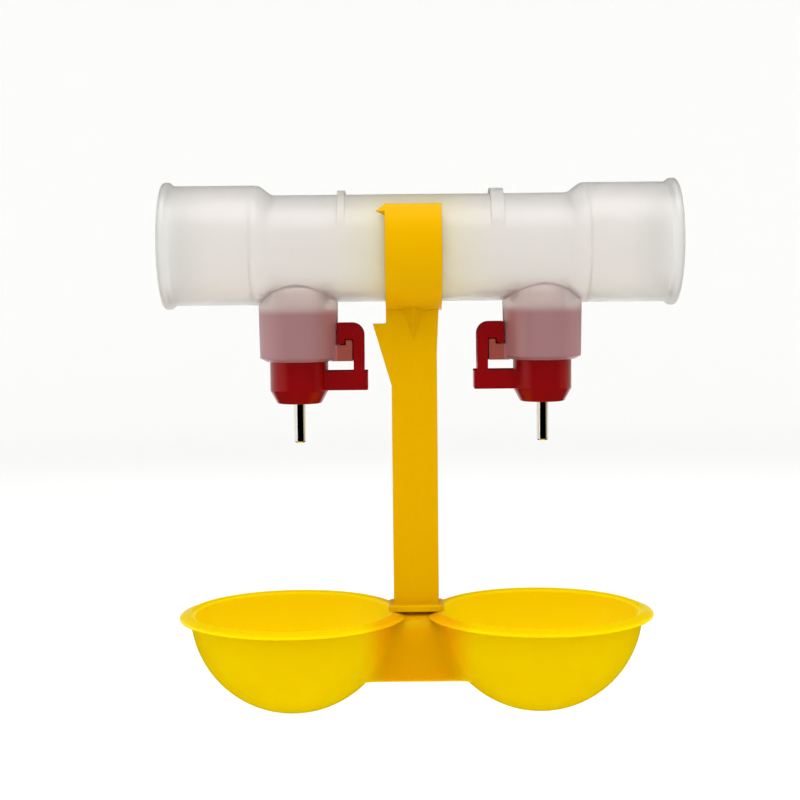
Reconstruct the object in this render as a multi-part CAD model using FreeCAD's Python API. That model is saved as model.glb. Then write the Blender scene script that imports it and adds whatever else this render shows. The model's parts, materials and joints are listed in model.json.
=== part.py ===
import FreeCAD, Part
import os
from math import cos, radians, sin, sqrt, tan

Vector = FreeCAD.Vector
ORIGIN = Vector(0, 0, 0)
X_AXIS, Y_AXIS, Z_AXIS = Vector(1, 0, 0), Vector(0, 1, 0), Vector(0, 0, 1)

# Poultry nipple drinker. Millimetres, +X along the supply tube, +Z up.
# The origin lies under the tube's middle, level with the undersides of the bowls.

# ---- Driving dimensions ------------------------------------------------------------------

# Supply tube: a pipe socket at each end
pipe_dia = 25.0              # water pipe that the sockets take
pipe_clearance = 0.1         # radial, pipe to socket
tube_length = 123.4
socket_wall = 1.8
socket_length = 22.4         # outside, mouth to shoulder
socket_depth = 21.4          # inside, mouth to the stop that the pipe meets
shoulder_length = 4.4
bead_height = 0.85           # bead round the mouth
bead_width = 1.7
bead_slope = 1.1
bead_round = 0.8
mouth_lead = 0.5             # lead-in chamfer

# Supply tube: the narrower middle, set lower than the sockets
middle_bore_r = 11.0
middle_wall = 1.9
middle_drop = 0.9
rib_xs = (-18.7, 18.4)       # ribs that keep the clip between them
rib_widths = (1.8, 3.2)
rib_heights = (1.0, 1.3)
rib_end_height = 4.5         # above the middle's axis, where a rib fades out

# Supply tube: bosses for the nipples, with latch ears
nipple_x = 29.5
boss_drop = 27.1             # middle's axis to the boss's lower face
boss_bore_r = 6.7
boss_foot_wall = 2.7         # at the lower end; the boss widens upwards
boss_draft = 0.3
boss_chamfer_r = 1.5
boss_chamfer_h = 0.8
plug_ledge = 0.7             # ledge that stops the plug
ear_half_depth = 3.0
ear_corner_r = 0.3

# Nipple body: plug, cap and latch
plug_length = 12.2
plug_gap = 0.1               # radial, plug to boss bore
cap_r = 7.05
cap_height = 10.2
cap_cone_height = 3.1
cap_cone_inset = 1.7
cap_end_r = 0.4
cap_cone_r = 0.8
plug_end_r = 0.4
cavity_r = 4.2
floor_thickness = 1.5
groove_top_height = 11.0     # O-ring groove, above the cap's shoulder
o_ring_section = 1.5
arm_top_drop = 2.4           # below the boss's lower face
arm_height = 4.6
arm_reach = 16.7             # from the nipple's axis
arm_corner_r = 0.3
arm_step_r = 0.2
bar_reach = 15.9
bar_width = 2.6
hook_top_height = 9.2
hook_thickness = 3.9
hook_round = 3.0
hook_inner_r = 0.4
tip_reach = 11.2             # outer side of the hook's tip
tip_length = 1.2
tip_corner_r = 0.6
latch_half_depth = 3.2
latch_web = 1.0
latch_gap = 0.25

# Valve inside the nipple body
pivot_drop = 5.6             # below the boss's lower face
head_r = 2.5                 # ball-shaped underside of the pin's head
head_gap = 0.05              # running fit of the head in its seat
head_top = 0.5
pin_r = 1.45
pin_length = 14.2            # pivot to tip
pin_tip_chamfer = 0.3
lifter_r = 0.8               # stub that pushes the ball up
lifter_height = 2.92
seat_bore_r = 2.25
gasket_bore_r = 3.2
gasket_height = 2.0
exit_r = 2.4
exit_flare = 0.8
ball_r = 2.38
ball_gap = 0.03              # ball to its cone
ball_rest_gap = 0.1          # ball to the lifter
ball_lift = 0.8
ball_seat_height = 2.4
ball_seat_bore_r = 1.5
cage_bore_r = 3.0
cage_roof_gap = 0.3
cage_roof = 1.2
cage_flow_r = 0.75
cage_flow_pcd_r = 1.9
cage_flow_count = 4
cage_top_drop = 0.8          # below the plug's upper end

# Hanger arm: clip, column, wing and foot
clip_gap = 0.35              # radial, clip to tube
clip_thickness = 1.8
clip_width = 13.4
clip_open_angle = 44.0       # jaws end this far above the horizontal
clip_tip_round = 0.6
spur_reach = 2.1             # pointed spur on the front jaw's left side
spur_low_angle = 34.0        # above the horizontal
spur_high_angle = 42.0
cup_slide = -1.6             # the cup hangs a little left of the middle
column_width = 11.0
column_plate = 1.9
column_ridge = 0.5
column_rib = 2.0
column_rib_depth = 4.4
neck_extra = 0.5             # the column's right edge, wider at the top
neck_length = 10.0
neck_corner_r = 0.5
wing_reach = 9.9             # from the column's middle
wing_top_drop = 18.2         # below the middle's axis
wing_length = 15.0
gusset_height = 14.0         # keel on the ridge, below the clip
gusset_half_width = 5.0
gusset_reach = 3.5           # in front of the plate
foot_width = 13.6
foot_depth = 9.4
foot_height = 1.5
foot_corner_r = 1.5
foot_edge_r = 0.4
stem_width = 7.0             # snap stem below the foot
stem_depth = 3.4
stem_length = 7.0
stem_gap = 0.15
stem_slot = 1.8
barb_reach = 0.6

# Twin bowl
rim_drop = 88.1              # middle's axis to the crest of the bowls' rims
bowl_r = 25.2
bowl_wall = 1.1
bowl_gap = 4.95              # bowl to the column's middle
bowl_flat_r = 2.5
rim_reach = 2.6              # flange that falls away outside the crest
rim_fall = 1.0
rim_thickness = 0.6          # at the flange's outer edge
rim_edge_r = 0.28
rim_crest_r = 0.45
rim_flare = 0.8              # the inside flares out below the crest, over this height
bridge_half_depth = 8.0
bridge_height = 16.4         # crest to the bridge's lower edge
bridge_round = 5.5
bridge_wall = 1.8
bridge_blend = 3.5

# ---- Heights and radii that follow --------------------------------------------------------

bowl_depth = sqrt(bowl_r**2 - bowl_flat_r**2)
bowl_spread = bowl_r + bowl_gap       # each bowl's axis from the column's middle
rim_z = bowl_depth
flare_z = rim_z - rim_flare           # also the top of the bridge
middle_z = rim_z + rim_drop
socket_z = middle_z + middle_drop
boss_z = middle_z - boss_drop
pivot_z = -pivot_drop

mouth_x = tube_length / 2
shoulder_x = mouth_x - socket_length
middle_x = shoulder_x - shoulder_length
socket_bore_r = pipe_dia / 2 + pipe_clearance
socket_r = socket_bore_r + socket_wall
middle_r = middle_bore_r + middle_wall

boss_foot_r = boss_bore_r + boss_foot_wall
boss_r = boss_foot_r + boss_draft
plug_r = boss_bore_r - plug_gap
groove_r = boss_bore_r - o_ring_section
bar_inner = bar_reach - bar_width
hook_under = hook_top_height - hook_thickness
tip_bottom = hook_under - tip_length
boss_wall_r = boss_bore_r + boss_foot_wall / 2     # middle of the boss's wall

floor_z = floor_thickness - cap_height
gasket_top = pivot_z + gasket_height
ball_seat_top = gasket_top + ball_seat_height
ball_z = pivot_z + lifter_height + ball_rest_gap + ball_r

clip_inner_r = middle_r + clip_gap
clip_outer_r = clip_inner_r + clip_thickness

run_out = 1.0                # cutting solids run this far past the faces that they open


# ---- Shape helpers ------------------------------------------------------------------------

def upright(radius, bottom, top, x=0.0, y=0.0):
    """Cylinder along Z."""
    return Part.makeCylinder(radius, top - bottom, Vector(x, y, bottom))


def rod(radius, x_start, x_end, z):
    """Cylinder along X."""
    return Part.makeCylinder(radius, x_end - x_start, Vector(x_start, 0, z), X_AXIS)


def block(x_low, x_high, y_low, y_high, z_low, z_high):
    """Box between two corners."""
    corner = Vector(x_low, y_low, z_low)
    return Part.makeBox(x_high - x_low, y_high - y_low, z_high - z_low, corner)


def ball(radius, x, z):
    """Full sphere."""
    return Part.makeSphere(radius, Vector(x, 0, z))


def outline(corners):
    """Face in the XZ plane through (x, z, corner radius) corners."""
    places = [Vector(x, 0, z) for x, z, _ in corners]
    edges, spans = [], []
    for i, (_, _, radius) in enumerate(corners):
        here, before, after = places[i], places[i - 1], places[(i + 1) % len(places)]
        back = (before - here).normalize()
        on = (after - here).normalize()
        half_angle = back.getAngle(on) / 2
        start = here + back * (radius / tan(half_angle))
        end = here + on * (radius / tan(half_angle))
        if radius > 0:
            middle = here + (back + on).normalize() * (radius / sin(half_angle) - radius)
            edges.append(Part.Arc(start, middle, end).toShape())
        spans.append((start, end))
    for i, (_, end) in enumerate(spans):
        edges.append(Part.makeLine(end, spans[(i + 1) % len(spans)][0]))
    return Part.Face(Part.Wire(Part.__sortEdges__(edges)))


def turned(corners):
    """Solid of revolution about Z from (radius, height, corner radius) corners."""
    return outline(corners).revolve(ORIGIN, Z_AXIS, 360)


def pyramid(base, apex):
    """Solid from a flat base to a point."""
    faces = [Part.Face(Part.makePolygon(base + [base[0]]))]
    for i, corner in enumerate(base):
        faces.append(Part.Face(Part.makePolygon([base[i - 1], corner, apex, base[i - 1]])))
    solid = Part.Solid(Part.Shell(faces))
    if solid.Volume < 0:
        solid.reverse()
    return solid


def slab(corners, y_low, y_high):
    """Outline in XZ, extruded between two Y values."""
    solid = outline(corners).extrude(Vector(0, y_high - y_low, 0))
    solid.translate(Vector(0, y_low, 0))
    return solid


# ---- Supply tube --------------------------------------------------------------------------

def socket_outside():
    """Right socket and its beaded mouth, turned about the socket axis."""
    bead_r = socket_r + bead_height
    section = outline([
        (shoulder_x, 0, 0), (mouth_x, 0, 0), (mouth_x, bead_r, bead_round),
        (mouth_x - bead_width, bead_r, bead_round / 2),
        (mouth_x - bead_width - bead_slope, socket_r, bead_round / 2), (shoulder_x, socket_r, 0)])
    solid = section.revolve(ORIGIN, X_AXIS, 360)
    solid.translate(Vector(0, 0, socket_z))
    return solid


def shoulder():
    """S-curved shoulder from the right socket down to the lower, narrower middle."""
    stations = 7
    wires = []
    for i in range(stations):
        along = i / (stations - 1)
        ease = along**2 * (3 - 2 * along)
        centre = Vector(shoulder_x - along * shoulder_length, 0, socket_z - ease * middle_drop)
        radius = socket_r + ease * (middle_r - socket_r)
        wires.append(Part.Wire(Part.makeCircle(radius, centre, X_AXIS)))
    return Part.makeLoft(wires, True, False)


def rib(x, width, height):
    """Ring set high on the middle, so it stands out on top and fades at the sides."""
    peak_r = middle_r + height
    raised = (peak_r**2 - middle_r**2) / (2 * (peak_r - rib_end_height))
    return rod(peak_r - raised, x - width / 2, x + width / 2, middle_z + raised)


def boss():
    """Left boss with its two latch fins, solid, at the nipple's own origin."""
    top = boss_drop - middle_bore_r / 2
    solid = turned([
        (0, 0, 0), (boss_foot_r - boss_chamfer_r, 0, 0), (boss_foot_r, boss_chamfer_h, 0),
        (boss_r, top, 0), (0, top, 0)])
    ear_x, ear_z = bar_inner - latch_gap, hook_under - latch_gap
    notch_x, notch_z = tip_reach + latch_gap, tip_bottom - latch_gap
    fin = [(boss_wall_r, 0, 0), (ear_x, 0, 0), (ear_x, ear_z, ear_corner_r),
           (notch_x, ear_z, ear_corner_r), (notch_x, notch_z, 0), (boss_wall_r, notch_z, 0)]
    slot = latch_web / 2 + latch_gap
    for side in (slab(fin, slot, ear_half_depth), slab(fin, -ear_half_depth, -slot)):
        solid = solid.fuse(side)
    return solid


def boss_bore():
    """Bore for the plug, its ledge and the way up into the tube."""
    wide = upright(boss_bore_r, -run_out, plug_length)
    return wide.fuse(upright(boss_bore_r - plug_ledge, plug_length, boss_drop))


def make_supply_tube():
    right_end = socket_outside().fuse(shoulder())
    tube = rod(middle_r, -middle_x, middle_x, middle_z)
    tube = tube.fuse([right_end, right_end.mirror(ORIGIN, X_AXIS)])
    for x, width, height in zip(rib_xs, rib_widths, rib_heights):
        tube = tube.fuse(rib(x, width, height))
    tube = tube.fuse([at_nipple(boss(), side) for side in SIDES])
    tube = tube.cut(rod(middle_bore_r, -mouth_x, mouth_x, middle_z))
    stop_x = mouth_x - socket_depth
    lead_r = socket_bore_r + mouth_lead
    mouth = rod(socket_bore_r, stop_x, mouth_x + run_out, socket_z)
    lead = Part.makeCone(socket_bore_r, lead_r, mouth_lead, Vector(mouth_x - mouth_lead, 0, socket_z), X_AXIS)
    mouth = mouth.fuse(lead)
    tube = tube.cut([mouth, mouth.mirror(ORIGIN, X_AXIS)])
    tube = tube.cut([at_nipple(boss_bore(), side) for side in SIDES])
    return tube.removeSplitter()


# ---- Nipples: each piece is made at the nipple's own origin, on its axis at the boss's face --

SIDES = ("left", "right")


def at_nipple(shape, side):
    """Move a piece to its boss; the right nipple is the left one turned half round."""
    placed = shape.copy()
    if side == "right":
        placed.rotate(ORIGIN, Z_AXIS, 180)
    placed.translate(Vector(nipple_x if side == "right" else -nipple_x, 0, boss_z))
    return placed


def make_nipple_body():
    """Plug, cap and latch, one moulding."""
    groove_bottom = groove_top_height - o_ring_section
    cone_top = cap_cone_height - cap_height
    body = turned([
        (0, -cap_height, 0), (cap_r - cap_cone_inset, -cap_height, cap_end_r),
        (cap_r, cone_top, cap_cone_r),
        (cap_r, 0, 0), (plug_r, 0, 0), (plug_r, groove_bottom, 0), (groove_r, groove_bottom, 0),
        (groove_r, groove_top_height, 0), (plug_r, groove_top_height, 0),
        (plug_r, plug_length, plug_end_r), (0, plug_length, 0)])
    arm_bottom = -arm_top_drop - arm_height
    latch = slab([
        (cavity_r, arm_bottom, 0), (arm_reach, arm_bottom, arm_corner_r),
        (arm_reach, -arm_top_drop, arm_step_r), (bar_reach, -arm_top_drop, 0),
        (bar_reach, hook_top_height, hook_round), (boss_wall_r, hook_top_height, 0),
        (boss_wall_r, tip_bottom, 0), (tip_reach, tip_bottom, tip_corner_r),
        (tip_reach, hook_under, 0), (bar_inner, hook_under, hook_inner_r),
        (bar_inner, -arm_top_drop, hook_inner_r), (cavity_r, -arm_top_drop, 0)],
        -latch_half_depth, latch_half_depth)
    web = block(plug_r, bar_inner, -latch_web / 2, latch_web / 2, 0, hook_under)
    boss_space = upright(boss_r + latch_gap, -arm_top_drop / 2, hook_top_height + run_out)
    latch = latch.fuse(web).cut(boss_space)
    body = body.fuse(latch)
    body = body.cut(upright(cavity_r, floor_z, plug_length + run_out))
    body = body.cut(upright(exit_r, -cap_height - run_out, floor_z + run_out))
    flare = Part.makeCone(exit_r + exit_flare, exit_r, exit_flare, Vector(0, 0, -cap_height))
    return body.cut(flare).removeSplitter()


def make_o_ring():
    centre_r = (boss_bore_r + groove_r) / 2
    return Part.makeTorus(centre_r, o_ring_section / 2, Vector(0, 0, groove_top_height - o_ring_section / 2))


def make_pin_seat():
    """Bush with the hollow ball seat that the pin's round head rests in."""
    bush = upright(cavity_r, floor_z, pivot_z).cut(upright(seat_bore_r, floor_z, pivot_z))
    return bush.cut(ball(head_r + head_gap, 0, pivot_z))


def make_seat_gasket():
    return upright(cavity_r, pivot_z, gasket_top).cut(upright(gasket_bore_r, pivot_z, gasket_top))


def make_ball_seat():
    """Ring whose 45 degree cone the ball closes."""
    cone_foot = ball_z - sqrt(2) * (ball_r + ball_gap)
    bore_top = cone_foot + ball_seat_bore_r
    cone_r = ball_seat_top - cone_foot
    return turned([
        (ball_seat_bore_r, gasket_top, 0), (cavity_r, gasket_top, 0), (cavity_r, ball_seat_top, 0),
        (cone_r, ball_seat_top, 0), (ball_seat_bore_r, bore_top, 0)])


def make_valve_ball():
    return ball(ball_r, 0, ball_z)


def make_ball_cage():
    """Sleeve over the ball: it stops the ball's lift and lets water past."""
    roof_bottom = ball_z + ball_r + ball_lift + cage_roof_gap
    top = plug_length - cage_top_drop
    cage = upright(cavity_r, ball_seat_top, top)
    cage = cage.cut(upright(cage_bore_r, ball_seat_top, roof_bottom))
    cage = cage.cut(upright(cage_bore_r, roof_bottom + cage_roof, top))
    for i in range(cage_flow_count):
        angle = radians(360 * i / cage_flow_count)
        x, y = cage_flow_pcd_r * cos(angle), cage_flow_pcd_r * sin(angle)
        cage = cage.cut(upright(cage_flow_r, roof_bottom, roof_bottom + cage_roof, x, y))
    return cage


def make_trigger_pin():
    """Pin with a round-bottomed head, and a domed stub above it."""
    head = ball(head_r, 0, pivot_z).common(upright(head_r, pivot_z - head_r, pivot_z + head_top))
    lifter = upright(lifter_r, pivot_z, pivot_z + lifter_height)
    lifter = lifter.common(ball(lifter_height, 0, pivot_z))
    tip_z = pivot_z - pin_length
    stem = turned([
        (0, tip_z, 0), (pin_r - pin_tip_chamfer, tip_z, 0), (pin_r, tip_z + pin_tip_chamfer, 0),
        (pin_r, pivot_z, 0), (0, pivot_z, 0)])
    return head.fuse([lifter, stem]).removeSplitter()


# ---- Hanger arm ---------------------------------------------------------------------------

def spur():
    """Small pointed spur beside the front jaw's end."""
    side_x = -clip_width / 2

    def on_jaw(radius, angle):
        return Vector(side_x, -radius * cos(radians(angle)), middle_z + radius * sin(radians(angle)))

    base = [on_jaw(clip_inner_r, spur_low_angle), on_jaw(clip_outer_r, spur_low_angle),
            on_jaw(clip_outer_r, spur_high_angle), on_jaw(clip_inner_r, spur_high_angle)]
    tip = on_jaw(clip_outer_r, spur_low_angle) - Vector(spur_reach, 0, 0)
    return pyramid(base, tip)


def clip():
    """C-shaped clip round the tube's middle, open at the top."""
    half = clip_width / 2
    ring = rod(clip_outer_r, -half, half, middle_z).cut(rod(clip_inner_r, -half, half, middle_z))
    rise = 2 * clip_outer_r
    run = rise / tan(radians(clip_open_angle))
    corners = [Vector(-half, 0, middle_z), Vector(-half, run, middle_z + rise),
               Vector(-half, -run, middle_z + rise), Vector(-half, 0, middle_z)]
    opening = Part.Face(Part.makePolygon(corners)).extrude(Vector(clip_width, 0, 0))
    ring = ring.cut(opening)
    tips = [edge for edge in ring.Edges
            if edge.BoundBox.XLength > half and edge.BoundBox.ZMin > middle_z]
    return ring.makeFillet(clip_tip_round, tips).fuse(spur())


def column():
    """Ridged front plate with a rib behind and a keel under the clip; the wing stands out left."""
    half = column_width / 2
    foot_top = rim_z + foot_height
    top = middle_z - clip_inner_r - clip_thickness / 2
    wing_top = middle_z - wing_top_drop
    section = Part.makePolygon([
        Vector(-half, 0, foot_top), Vector(-half, -column_plate, foot_top),
        Vector(0, -column_plate - column_ridge, foot_top), Vector(half, -column_plate, foot_top),
        Vector(half, 0, foot_top), Vector(-half, 0, foot_top)])
    bar = Part.Face(section).extrude(Vector(0, 0, top - foot_top))
    neck_z = middle_z - clip_outer_r - neck_length
    clip_half = clip_width / 2
    neck = slab([
        (-half, wing_top - wing_length, 0), (-wing_reach, wing_top, 0), (-clip_half, wing_top, neck_corner_r),
        (-clip_half, top, 0), (half + neck_extra, top, 0), (half + neck_extra, neck_z + neck_length, 0),
        (half, neck_z, 0), (half, wing_top - wing_length, 0)], -column_plate, 0)
    back_rib = block(-column_rib / 2, column_rib / 2, 0, column_rib_depth, foot_top, top)
    keel_top = middle_z - clip_inner_r - clip_thickness / 4
    keel = pyramid([
        Vector(-gusset_half_width, 0, keel_top),
        Vector(0, -column_plate - gusset_reach, keel_top),
        Vector(gusset_half_width, 0, keel_top)],
        Vector(0, 0, middle_z - clip_outer_r - gusset_height))
    return bar.fuse([neck, back_rib, keel])


def foot():
    """Flange on the bowls' rims, and the split snap stem below it."""
    half_width, half_depth = foot_width / 2, foot_depth / 2
    flange = block(-half_width, half_width, -half_depth, half_depth, rim_z, rim_z + foot_height)
    corners = [edge for edge in flange.Edges if edge.BoundBox.ZLength > foot_height / 2]
    flange = flange.makeFillet(foot_corner_r, corners)
    top_edges = [edge for edge in flange.Edges if edge.BoundBox.ZMin > rim_z + foot_height / 2]
    flange = flange.makeFillet(foot_edge_r, top_edges)
    stem_half = stem_width / 2
    wall_under = flare_z - bridge_wall - stem_gap
    stem_end = rim_z - stem_length
    barb_half = stem_half + barb_reach
    stem = slab([
        (-stem_half, rim_z, 0), (-stem_half, wall_under, 0), (-barb_half, wall_under, 0),
        (-stem_half + barb_reach, stem_end, 0), (stem_half - barb_reach, stem_end, 0),
        (barb_half, wall_under, 0), (stem_half, wall_under, 0), (stem_half, rim_z, 0)],
        -stem_depth / 2, stem_depth / 2)
    slot = block(-stem_slot / 2, stem_slot / 2, -stem_depth, stem_depth,
                 stem_end, flare_z)
    return flange.fuse(stem.cut(slot))


def make_hanger_arm():
    arm = clip().fuse([column(), foot()]).removeSplitter()
    arm.translate(Vector(cup_slide, 0, 0))
    return arm


# ---- Twin bowl ----------------------------------------------------------------------------

def flanged_rim():
    """Round crest of a bowl and the flange outside it, at the bowl's own axis."""
    inner, outer = sqrt((bowl_r - bowl_wall)**2 - rim_flare**2), bowl_r + rim_reach
    edge_z = rim_z - rim_fall
    return turned([
        (inner, flare_z, 0), (bowl_r, rim_z, rim_crest_r), (outer, edge_z, rim_edge_r),
        (outer, edge_z - rim_thickness, rim_edge_r), (inner, edge_z - rim_thickness, 0)])


def bridge_core():
    """Bridge between the bowls, solid, with rounded front and back shoulders."""
    top, bottom = flare_z, rim_z - bridge_height
    depth = bridge_half_depth
    reach = bowl_spread - bowl_r / 2
    core = slab([(-depth, bottom, 0), (depth, bottom, 0), (depth, top, bridge_round),
                 (-depth, top, bridge_round)], -reach, reach)
    core.rotate(ORIGIN, Z_AXIS, 90)
    return core


def is_seam(edge):
    """An edge where the bridge's top, shoulders or sides meet a bowl."""
    box = edge.BoundBox
    beside_bridge = box.XLength < bridge_height and abs(box.Center.x) > bowl_gap / 2
    return beside_bridge and rim_z - bridge_height + bridge_wall < box.ZMax < rim_z


def make_twin_bowl():
    """Two bowls and their bridge, blended, then trimmed at the rim and hollowed."""
    bowl_xs = (-bowl_spread, bowl_spread)
    body = bridge_core().fuse([ball(bowl_r, x, rim_z) for x in bowl_xs])
    body = body.makeFillet(bridge_blend, [edge for edge in body.Edges if is_seam(edge)])
    span = 2 * bowl_spread
    body = body.common(block(-span, span, -span, span, 0, flare_z))
    for x in bowl_xs:
        rim = flanged_rim()
        rim.translate(Vector(x, 0, 0))
        body = body.fuse(rim)
    body = body.cut([ball(bowl_r - bowl_wall, x, rim_z) for x in bowl_xs])
    inner = bridge_half_depth - bridge_wall
    hollow = block(-bowl_spread, bowl_spread, -inner, inner, 0, flare_z - bridge_wall)
    hollow = hollow.cut([ball(bowl_r, x, rim_z) for x in bowl_xs])
    hole_x, hole_y = stem_width / 2 + stem_gap, stem_depth / 2 + stem_gap
    stem_hole = block(-hole_x, hole_x, -hole_y, hole_y, rim_z - bridge_height, rim_z)
    body = body.cut([hollow, stem_hole]).removeSplitter()
    body.translate(Vector(cup_slide, 0, 0))
    return body


# ---- Write one STEP file per piece ----------------------------------------------------------

os.makedirs("parts", exist_ok=True)
make_supply_tube().exportStep("parts/supply_tube.step")
make_hanger_arm().exportStep("parts/hanger_arm.step")
make_twin_bowl().exportStep("parts/twin_bowl.step")

NIPPLE_PIECES = {
    "nipple_body": make_nipple_body,
    "body_o_ring": make_o_ring,
    "pin_seat": make_pin_seat,
    "seat_gasket": make_seat_gasket,
    "ball_seat": make_ball_seat,
    "valve_ball": make_valve_ball,
    "ball_cage": make_ball_cage,
    "trigger_pin": make_trigger_pin,
}
for piece, make in NIPPLE_PIECES.items():
    shape = make()
    for side in SIDES:
        at_nipple(shape, side).exportStep("parts/" + side + "_" + piece + ".step")
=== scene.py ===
import json
import math

import bmesh
import bpy
from mathutils import Matrix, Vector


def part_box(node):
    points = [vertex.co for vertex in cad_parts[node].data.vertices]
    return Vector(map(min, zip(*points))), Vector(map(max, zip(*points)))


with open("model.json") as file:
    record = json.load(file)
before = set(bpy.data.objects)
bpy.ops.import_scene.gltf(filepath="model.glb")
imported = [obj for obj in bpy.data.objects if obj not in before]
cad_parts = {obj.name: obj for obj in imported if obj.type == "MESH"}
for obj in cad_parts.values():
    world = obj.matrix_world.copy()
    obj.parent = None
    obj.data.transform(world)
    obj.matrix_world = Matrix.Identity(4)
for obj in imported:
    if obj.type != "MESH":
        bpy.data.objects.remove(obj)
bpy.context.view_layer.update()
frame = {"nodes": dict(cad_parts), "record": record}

nodes = frame["nodes"]


# ---- Supply tube --------------------------------------------------------------------------
# The tee that joins two lengths of water pipe: one injection moulding in natural
# polypropylene. Milky and see-through where it is thin, it shows the red plugs in its bosses.

MM = 0.001


def linear(hex_colour):
    """An sRGB hex colour as linear red, green, blue and alpha."""
    parts = [int(hex_colour[i:i + 2], 16) / 255 for i in (1, 3, 5)]
    return [((c + 0.055) / 1.055) ** 2.4 if c > 0.04045 else c / 12.92 for c in parts] + [1.0]


def add(tree, kind, values=None, **settings):
    """Add a node; values fill its sockets, by name or index, with a value or another node's output."""
    node = tree.nodes.new(kind)
    for name, value in settings.items():
        setattr(node, name, value)
    for key, value in (values or {}).items():
        if isinstance(value, bpy.types.NodeSocket):
            tree.links.new(value, node.inputs[key])
        else:
            node.inputs[key].default_value = value
    return node


def new_material(name):
    """An empty node material and its tree."""
    material = bpy.data.materials.new(name)
    material.use_nodes = True
    material.node_tree.nodes.clear()
    return material, material.node_tree


def finish_material(tree, shader):
    add(tree, "ShaderNodeOutputMaterial", {"Surface": shader.outputs[0]})


mouth_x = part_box("supply_tube")[1].x
mouth_shade_length = 12 * MM                  # painted shade: the ends are painted a duller grey over this length
clip_middle = sum(corner.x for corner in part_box("twin_bowl")) / 2
clip_half = 6.7 * MM
clip_light_end = 24 * MM                    # painted light: the clip's yellow, painted on the tube, has faded this far from its middle
plug_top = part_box("left_nipple_body")[1].z
plug_blur = 1.2 * MM
shade_height = 7 * MM                 # the boss is shaded this far above the plug
shade_core = 0.6 * MM                 # full shade ends this far outside the boss
shade_reach = 1.6 * MM                # and has faded this far outside it
fin_blur = 0.3 * MM
# Painted light: how strongly the side next to the latch is painted salmon.
latch_light_strength = 0.45
wall_clearness = 0.8
plug_clearness = 0.5
boss_x = sum(corner.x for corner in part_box("right_trigger_pin")) / 2
boss_r = 9.6 * MM


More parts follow.
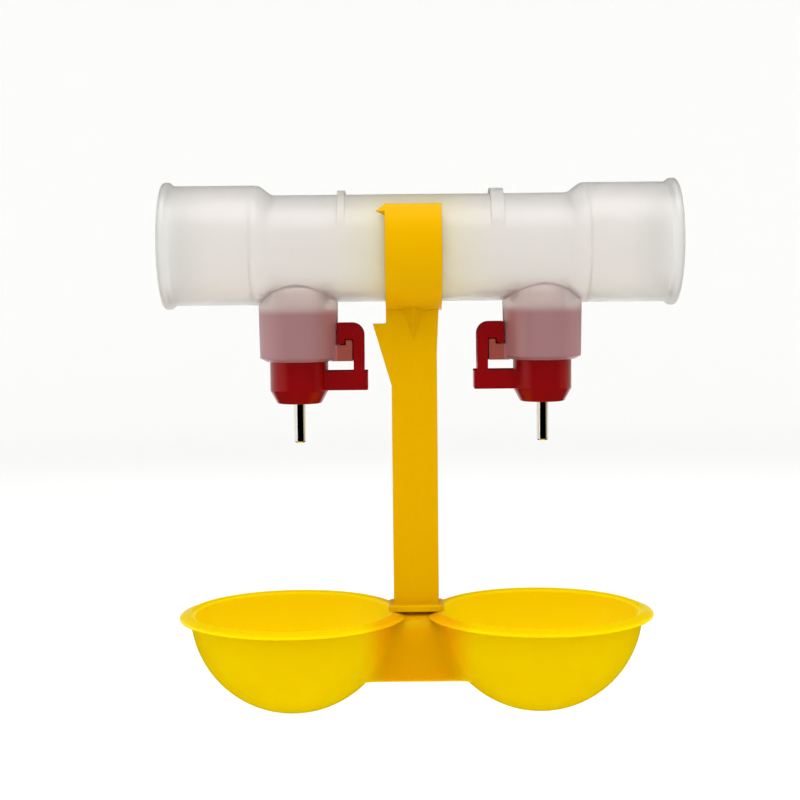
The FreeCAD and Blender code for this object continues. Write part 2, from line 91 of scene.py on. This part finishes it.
def natural_polypropylene():
    """Natural polypropylene, moulded: cloudy inside, with a soft shine and faint flow marks.
    Light from the coloured parts around it is painted into the wall's colour: painted yellow light beside
    the clip, painted red light over the red plugs, and painted salmon light in the fins and on the side next
    to the red latches. Its ends are painted a duller grey, as painted shade."""
    material, tree = new_material("natural_polypropylene")
    place = add(tree, "ShaderNodeTexCoord")
    axes = add(tree, "ShaderNodeSeparateXYZ", {0: place.outputs["Object"]})
    flow = add(tree, "ShaderNodeTexNoise", {"Vector": place.outputs["Object"], "Scale": 60.0, "Detail": 3.0})
    plain = add(tree, "ShaderNodeMix", {
        0: flow.outputs["Fac"], 6: linear("#fbf9f7"), 7: linear("#f7f3ef")}, data_type="RGBA")
    # Painted shade: towards both ends the wall is painted a duller grey.
    shaded_mouths = add(tree, "ShaderNodeMapRange", {
        "Value": add(tree, "ShaderNodeMath", {0: axes.outputs["X"]}, operation="ABSOLUTE").outputs[0],
        "From Min": mouth_x - mouth_shade_length, "From Max": mouth_x})
    plain = add(tree, "ShaderNodeMix", {
        0: shaded_mouths.outputs["Result"], 6: plain.outputs[2], 7: linear("#e9e8e5")}, data_type="RGBA")
    from_middle = add(tree, "ShaderNodeMath", {0: axes.outputs["X"], 1: clip_middle}, operation="SUBTRACT")
    from_clip = add(tree, "ShaderNodeMath", {0: from_middle.outputs[0]}, operation="ABSOLUTE")
    # Painted light: near the clip the wall is painted a pale yellow, standing in for the clip's yellow
    # light.
    nearness = add(tree, "ShaderNodeMapRange", {
        "Value": from_clip.outputs[0], "From Min": clip_light_end, "From Max": clip_half})
    glow = add(tree, "ShaderNodeMath", {0: nearness.outputs["Result"], 1: 2.0}, operation="POWER")
    clip_lit = add(tree, "ShaderNodeMix", {
        0: glow.outputs[0], 6: plain.outputs[2], 7: linear("#fbf5de")}, data_type="RGBA")
    beside_plug = add(tree, "ShaderNodeMapRange", {
        "Value": axes.outputs["Z"], "From Min": plug_top + plug_blur, "From Max": plug_top - plug_blur},
        interpolation_type="SMOOTHSTEP")
    across = add(tree, "ShaderNodeMath", {
        0: add(tree, "ShaderNodeMath", {0: axes.outputs["X"]}, operation="ABSOLUTE").outputs[0], 1: boss_x},
        operation="SUBTRACT")
    plan = add(tree, "ShaderNodeCombineXYZ", {"X": across.outputs[0], "Y": axes.outputs["Y"]})
    from_axis = add(tree, "ShaderNodeVectorMath", {0: plan.outputs[0]}, operation="LENGTH")
    in_boss = add(tree, "ShaderNodeMapRange", {
        "Value": from_axis.outputs["Value"], "From Min": boss_r + shade_reach,
        "From Max": boss_r + shade_core},
        interpolation_type="SMOOTHSTEP")
    over_plug = add(tree, "ShaderNodeMapRange", {
        "Value": axes.outputs["Z"], "From Min": plug_top + shade_height,
        "From Max": plug_top + shade_height / 2},
        interpolation_type="SMOOTHSTEP")
    shade = add(tree, "ShaderNodeMath", {
        0: in_boss.outputs["Result"], 1: over_plug.outputs["Result"]}, operation="MULTIPLY")
    shaded = add(tree, "ShaderNodeMix", {
        0: shade.outputs[0], 6: clip_lit.outputs[2], 7: linear("#ebdcd8")}, data_type="RGBA")
    # Painted light: below the plugs' tops the wall is painted rosy, standing in for the red plugs seen
    # through the cloudy wall.
    painted_plug_light = add(tree, "ShaderNodeMix", {
        0: beside_plug.outputs["Result"], 6: shaded.outputs[2], 7: linear("#c08d91")}, data_type="RGBA")
    # Painted light: the fins, and the boss's side next to the red latch, are painted salmon, standing in for
    # the latch's red light coming through the cloudy wall.
    on_fin = add(tree, "ShaderNodeMapRange", {
        "Value": from_axis.outputs["Value"], "From Min": boss_r, "From Max": boss_r + fin_blur})
    latch_side = add(tree, "ShaderNodeMapRange", {
        "Value": across.outputs[0], "From Min": -boss_r / 3, "From Max": -boss_r,
        "To Max": latch_light_strength})
    red_light_spread = add(tree, "ShaderNodeMath", {
        0: on_fin.outputs["Result"], 1: latch_side.outputs["Result"]}, operation="MAXIMUM")
    latch_light = add(tree, "ShaderNodeMath", {
        0: red_light_spread.outputs[0], 1: beside_plug.outputs["Result"]}, operation="MULTIPLY")
    tint = add(tree, "ShaderNodeMix", {
        0: latch_light.outputs[0], 6: painted_plug_light.outputs[2], 7: linear("#bf5848")}, data_type="RGBA")
    clearness = add(tree, "ShaderNodeMapRange", {
        "Value": beside_plug.outputs["Result"], "To Min": wall_clearness, "To Max": plug_clearness})
    skin = add(tree, "ShaderNodeTexNoise", {
        "Vector": place.outputs["Object"], "Scale": 1500.0, "Detail": 2.0})
    edge = add(tree, "ShaderNodeBevel", {"Radius": 0.4 * MM}, samples=6)
    bump = add(tree, "ShaderNodeBump", {
        "Height": skin.outputs["Fac"], "Strength": 0.1, "Distance": 0.00003,
        "Normal": edge.outputs["Normal"]})
    shader = add(tree, "ShaderNodeBsdfPrincipled", {
        "Base Color": tint.outputs[2], "Roughness": 0.3, "IOR": 1.49,
        "Transmission Weight": clearness.outputs["Result"], "Normal": bump.outputs["Normal"]})
    finish_material(tree, shader)
    return material


def dress(material, *names):
    """Give CAD nodes their finish."""
    for name in names:
        slots = nodes[name].data.materials
        slots.clear()
        slots.append(material)


dress(natural_polypropylene(), "supply_tube")


# ---- Nipple bodies ------------------------------------------------------------------------
# Push-in valve bodies moulded in red ABS: plug, cap and latch in one piece.
# Their glossy skin has the faint unevenness of a small moulding.

def red_abs():
    """Red ABS, glossy as it comes from a polished mould."""
    material, tree = new_material("red_abs")
    place = add(tree, "ShaderNodeTexCoord")
    shade = add(tree, "ShaderNodeTexNoise", {
        "Vector": place.outputs["Object"], "Scale": 150.0, "Detail": 2.0})
    colour = add(tree, "ShaderNodeMix", {
        0: shade.outputs["Fac"], 6: linear("#840105"), 7: linear("#760104")}, data_type="RGBA")
    edge = add(tree, "ShaderNodeBevel", {"Radius": 0.3 * MM}, samples=6)
    bump = add(tree, "ShaderNodeBump", {
        "Height": shade.outputs["Fac"], "Strength": 0.1, "Distance": 0.0001,
        "Normal": edge.outputs["Normal"]})
    shader = add(tree, "ShaderNodeBsdfPrincipled", {
        "Base Color": colour.outputs[2], "Roughness": 0.25, "IOR": 1.54, "Specular Tint": linear("#ff8080"),
        "Normal": bump.outputs["Normal"]})
    finish_material(tree, shader)
    return material


dress(red_abs(), "left_nipple_body", "right_nipple_body")


# ---- Valve parts --------------------------------------------------------------------------
# Turned stainless steel pins, seats and balls, with black nitrile rings and a white
# acetal cage over each ball. Only the pins' lower ends show.

def stainless_steel():
    """Stainless steel, turned: fine rings run round the pin."""
    material, tree = new_material("stainless_steel")
    place = add(tree, "ShaderNodeTexCoord")
    rings = add(tree, "ShaderNodeMapping", {"Vector": place.outputs["Object"], "Scale": (1, 1, 60)})
    lathe = add(tree, "ShaderNodeTexNoise", {"Vector": rings.outputs["Vector"], "Scale": 120.0})
    bump = add(tree, "ShaderNodeBump", {
        "Height": lathe.outputs["Fac"], "Strength": 0.08, "Distance": 0.00002})
    shader = add(tree, "ShaderNodeBsdfPrincipled", {
        "Base Color": linear("#dedbd5"), "Metallic": 1.0, "Roughness": 0.12,
        "Normal": bump.outputs["Normal"]})
    finish_material(tree, shader)
    return material


def plain_moulded(name, light, dark, roughness):
    """Rubber or plastic with a faint mottle."""
    material, tree = new_material(name)
    place = add(tree, "ShaderNodeTexCoord")
    mottle = add(tree, "ShaderNodeTexNoise", {"Vector": place.outputs["Object"], "Scale": 400.0})
    colour = add(tree, "ShaderNodeMix", {
        0: mottle.outputs["Fac"], 6: linear(light), 7: linear(dark)}, data_type="RGBA")
    shader = add(tree, "ShaderNodeBsdfPrincipled", {
        "Base Color": colour.outputs[2], "Roughness": roughness})
    finish_material(tree, shader)
    return material


steel = stainless_steel()
nitrile = plain_moulded("nitrile_rubber", "#1c1b1b", "#121111", 0.6)
acetal = plain_moulded("white_acetal", "#ecebe6", "#e2e0da", 0.4)
for side in ("left", "right"):
    dress(steel, side + "_trigger_pin", side + "_pin_seat", side + "_ball_seat", side + "_valve_ball")
    dress(nitrile, side + "_body_o_ring", side + "_seat_gasket")
    dress(acetal, side + "_ball_cage")


# ---- Hanger arm and twin bowl -------------------------------------------------------------
# Two mouldings in yellow polypropylene: the arm clips round the tube and snaps into the
# bridge of the bowls. The thick arm is a deeper orange than the thin, glowing bowls, whose
# lighter yellow is partly painted light for the light coming through their walls.

hollows = {opening["name"]: opening["box_m"] for opening in frame["record"]["physics"]["openings"]}
left_bowl = hollows["left_bowl"]
right_bowl = hollows["right_bowl"]
bowl_x = (right_bowl[0][0] + right_bowl[1][0] - left_bowl[0][0] - left_bowl[1][0]) / 4
rim_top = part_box("twin_bowl")[1].z
bowl_middle_r = 24.6 * MM             # half way through the bowl's wall
wall_blur = 0.2 * MM
bridge_end = 14 * MM                  # the thick bridge ends this far from the middle
bridge_blur = 0.5 * MM


def yellow_polypropylene(name, light, dark, inside, bridge, glow):
    """Yellow polypropylene with a satin skin; light comes through where it is thin. The bowls'
    insides are also painted brighter, as painted light, and their thick bridge darker, as painted shade."""
    material, tree = new_material(name)
    place = add(tree, "ShaderNodeTexCoord")
    flow = add(tree, "ShaderNodeTexNoise", {"Vector": place.outputs["Object"], "Scale": 45.0, "Detail": 3.0})
    colour = add(tree, "ShaderNodeMix", {
        0: flow.outputs["Fac"], 6: linear(light), 7: linear(dark)}, data_type="RGBA")
    axes = add(tree, "ShaderNodeSeparateXYZ", {0: place.outputs["Object"]})
    from_middle = add(tree, "ShaderNodeMath", {0: axes.outputs["X"], 1: clip_middle}, operation="SUBTRACT")
    folded = add(tree, "ShaderNodeMath", {0: from_middle.outputs[0]}, operation="ABSOLUTE")
    across = add(tree, "ShaderNodeMath", {0: folded.outputs[0], 1: bowl_x}, operation="SUBTRACT")
    below = add(tree, "ShaderNodeMath", {0: axes.outputs["Z"], 1: rim_top}, operation="SUBTRACT")
    out = add(tree, "ShaderNodeCombineXYZ", {
        "X": across.outputs[0], "Y": axes.outputs["Y"], "Z": below.outputs[0]})
    reach = add(tree, "ShaderNodeVectorMath", {0: out.outputs[0]}, operation="LENGTH")
    hollow = add(tree, "ShaderNodeMapRange", {
        "Value": reach.outputs["Value"], "From Min": bowl_middle_r + wall_blur,
        "From Max": bowl_middle_r - wall_blur})
    # Painted light: inside the bowls the colour is painted brighter, standing in for light coming through
    # the thin walls.
    colour = add(tree, "ShaderNodeMix", {
        0: hollow.outputs["Result"], 6: colour.outputs[2], 7: linear(inside)}, data_type="RGBA")
    in_bridge = add(tree, "ShaderNodeMapRange", {
        "Value": folded.outputs[0], "From Min": bridge_end, "From Max": bridge_end / 2},
        interpolation_type="SMOOTHSTEP")
    solid = add(tree, "ShaderNodeMapRange", {
        "Value": reach.outputs["Value"], "From Min": bowl_middle_r, "From Max": bowl_middle_r + bridge_blur})
    thick = add(tree, "ShaderNodeMath", {
        0: in_bridge.outputs["Result"], 1: solid.outputs["Result"]}, operation="MULTIPLY")
    # Painted shade: the thick bridge between the bowls is painted a darker orange, where less light comes
    # through it.
    colour = add(tree, "ShaderNodeMix", {
        0: thick.outputs[0], 6: colour.outputs[2], 7: linear(bridge)}, data_type="RGBA")
    skin = add(tree, "ShaderNodeTexNoise", {
        "Vector": place.outputs["Object"], "Scale": 1500.0, "Detail": 2.0})
    edge = add(tree, "ShaderNodeBevel", {"Radius": 0.3 * MM}, samples=6)
    bump = add(tree, "ShaderNodeBump", {
        "Height": skin.outputs["Fac"], "Strength": 0.12, "Distance": 0.00005,
        "Normal": edge.outputs["Normal"]})
    shader = add(tree, "ShaderNodeBsdfPrincipled", {
        "Base Color": colour.outputs[2], "Roughness": 0.36, "IOR": 1.49, "Specular Tint": linear("#ffd800"),
        "Subsurface Weight": glow, "Subsurface Radius": (1.0, 0.75, 0.05), "Subsurface Scale": 0.003,
        "Normal": bump.outputs["Normal"]})
    finish_material(tree, shader)
    return material


dress(yellow_polypropylene(
    "yellow_polypropylene_thick", "#d5a000", "#cf9800",
    inside="#d5a000", bridge="#d5a000", glow=0.1), "hanger_arm")
dress(yellow_polypropylene(
    "yellow_polypropylene_thin", "#dac202", "#d4ba01",
    inside="#edd003", bridge="#d49e01", glow=1.0), "twin_bowl")


# ---- Studio -------------------------------------------------------------------------------
# A round, pale paper floor that curves up into a low wall all round, below the hanging
# drinker. One wide softbox lies above and in front. Glossy surfaces see only the softbox and
# three cards, which keeps the front of the steel and the red caps dark.

floor_drop = 60 * MM
floor_reach = 1.2
sweep_radius = 0.6
wall_top = 0.9
sweep_steps = 12
round_steps = 96
profile = [(0.0, -floor_drop)]
for step in range(sweep_steps + 1):
    turn = math.radians(90 * step / sweep_steps)
    profile.append((floor_reach + sweep_radius * math.sin(turn),
                    sweep_radius * (1 - math.cos(turn)) - floor_drop))
profile.append((floor_reach + sweep_radius, wall_top))
paper = bmesh.new()
line = [paper.verts.new((reach, 0, height)) for reach, height in profile]
for low, high in zip(line, line[1:]):
    paper.edges.new((low, high))
bmesh.ops.spin(paper, geom=paper.verts[:] + paper.edges[:], axis=(0, 0, 1), cent=(0, 0, 0),
               angle=math.tau, steps=round_steps)
bmesh.ops.remove_doubles(paper, verts=paper.verts[:], dist=0.01 * MM)
floor_mesh = bpy.data.meshes.new("studio_floor")
paper.to_mesh(floor_mesh)
paper.free()
floor_mesh.shade_smooth()
floor = bpy.data.objects.new("studio_floor", floor_mesh)
bpy.context.collection.objects.link(floor)
floor_mesh.materials.append(plain_moulded("matt_paper", "#fbfbfa", "#f9f9f8", 0.9))
floor.visible_glossy = False


def card(name, corners, light, dark):
    """Flat card that only glossy surfaces see."""
    mesh = bpy.data.meshes.new(name)
    mesh.from_pydata(corners, [], [(0, 1, 2, 3)])
    mesh.materials.append(plain_moulded(name, light, dark, 0.9))
    shape = bpy.data.objects.new(name, mesh)
    shape.visible_camera = shape.visible_diffuse = shape.visible_transmission = shape.visible_shadow = False
    bpy.context.collection.objects.link(shape)


card_low = -0.05
card_high = 0.5
card_back = 1.0
card_side = 0.5
white_front = -0.4
brown_front = -0.19
under_front = 0.07
under_z = 0.035
for name, x, front, light, dark in (
        ("white_card", -card_side, white_front, "#f6f6f5", "#f2f2f1"),
        ("brown_card", card_side, brown_front, "#a99e80", "#a2987b")):
    card(name, [(x, front, card_low), (x, card_back, card_low), (x, card_back, card_high),
                (x, front, card_high)], light, dark)
card("under_card", [(-card_side, under_front, under_z), (card_side, under_front, under_z),
                    (card_side, card_back, under_z), (-card_side, card_back, under_z)], "#f6f6f5", "#f2f2f1")

softbox_width = 1.4
softbox_depth = 0.9
softbox_watts = 9
softbox_front = -0.42
softbox_height = 1.1
light = bpy.data.lights.new("softbox", "AREA")
light.shape = "RECTANGLE"
light.size = softbox_width
light.size_y = softbox_depth
light.energy = softbox_watts
softbox = bpy.data.objects.new("softbox", light)
softbox.location = (0, softbox_front, softbox_height)
softbox.visible_camera = False
bpy.context.collection.objects.link(softbox)

world = bpy.data.worlds.new("studio_world")
bpy.context.scene.world = world
world.use_nodes = True
background = world.node_tree.nodes["Background"]
background.inputs["Color"].default_value = (1, 1, 1, 1)
background.inputs["Strength"].default_value = 0.95
world.cycles_visibility.glossy = False

socket = next(m for m in frame["record"]["mounts"] if m["name"] == "right_socket")
socket_height = socket["pos_m"][2]
camera_x = -5.11 * MM
camera_y = -394.4 * MM
camera_drop = 8.13 * MM               # below the sockets' axis
camera_pitch = math.radians(4.293)
camera_roll = math.radians(-0.595)
camera_data = bpy.data.cameras.new("camera")
camera_data.lens = 73.16
camera_data.sensor_width = 36
camera = bpy.data.objects.new("camera", camera_data)
camera.matrix_world = (
    Matrix.Translation((camera_x, camera_y, socket_height - camera_drop))
    @ Matrix.Rotation(math.radians(90) - camera_pitch, 4, "X")
    @ Matrix.Rotation(camera_roll, 4, "Z"))
bpy.context.collection.objects.link(camera)
bpy.context.scene.camera = camera
bpy.context.scene.view_settings.view_transform = "Standard"
